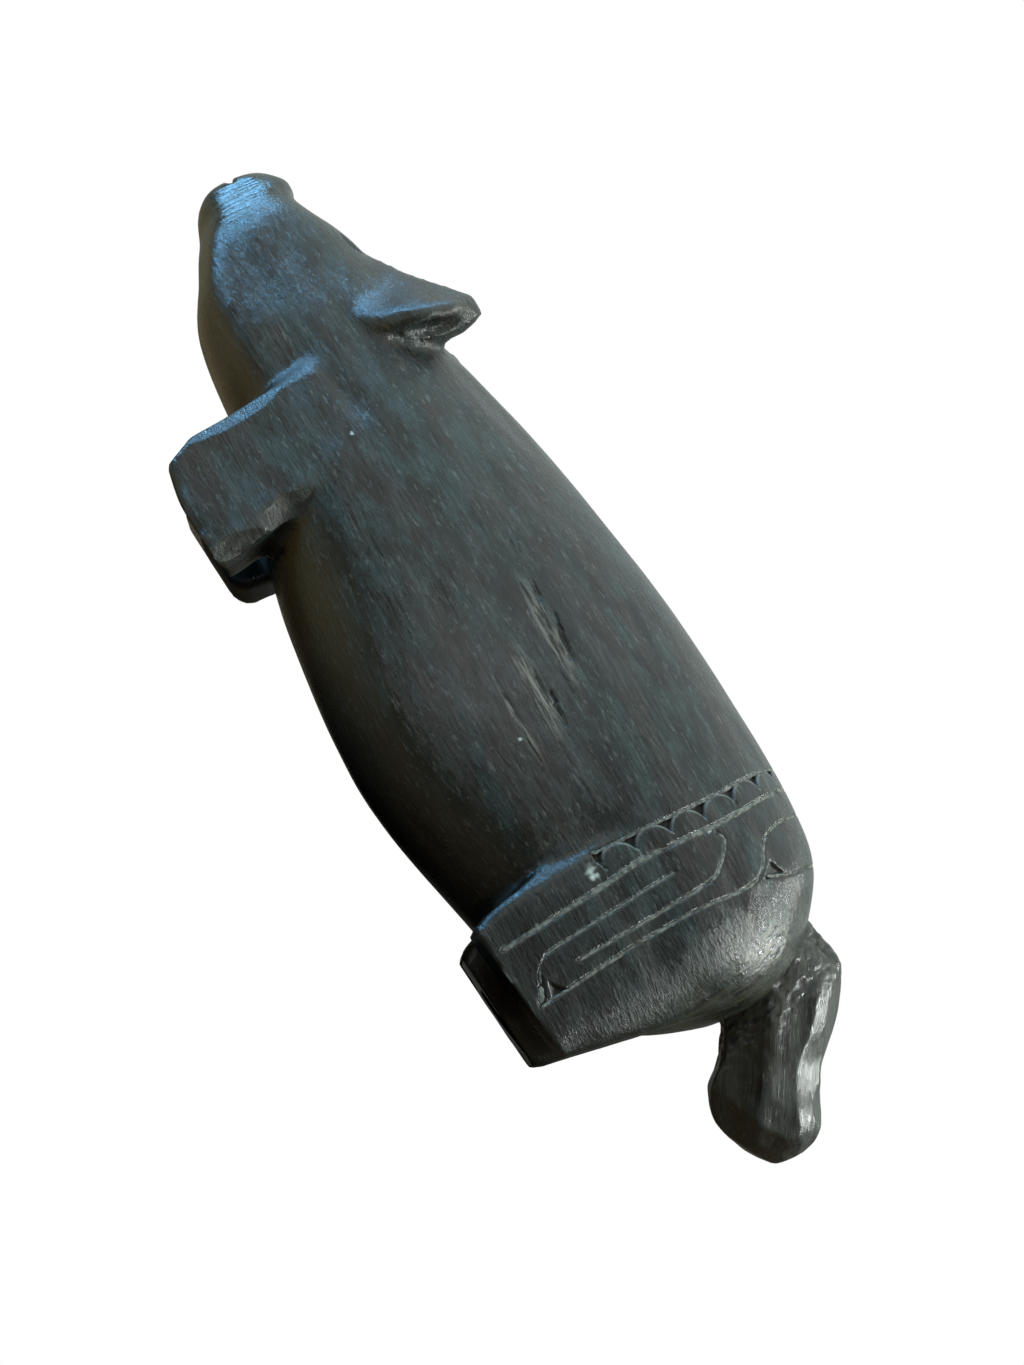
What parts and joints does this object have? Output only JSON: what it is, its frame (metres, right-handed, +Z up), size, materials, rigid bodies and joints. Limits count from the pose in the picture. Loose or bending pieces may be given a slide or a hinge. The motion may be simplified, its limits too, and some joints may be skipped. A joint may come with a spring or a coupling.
{
  "type": "carved wooden pig",
  "caption": "Standing pig carved from one block of dark hardwood, with a separate pegged tail and lime-filled incised bands on the hindquarters.",
  "frame": {"origin": "on the ground, under the middle of the box around the whole figure", "axes": "+X towards the snout, +Y to the pig's left, +Z up"},
  "size_m": [0.19, 0.045, 0.0605],
  "materials": {
    "dark_wood": "hand-carved near-black hardwood, rubbed to a worn satin",
    "lime": "dry, chalky and partly rubbed away"
  },
  "bodies": {
    "root": {"carved_block": "dark_wood", "tail": "dark_wood", "lime_front_border": "lime", "lime_second_border": "lime", "lime_scroll": "lime", "lime_rear_lobe": "lime", "lime_arch_left": "lime", "lime_arch_right": "lime", "lime_hook_left": "lime", "lime_hook_right": "lime", "lime_foot_mark_left": "lime", "lime_foot_mark_right": "lime"}
  },
  "joints": []
}
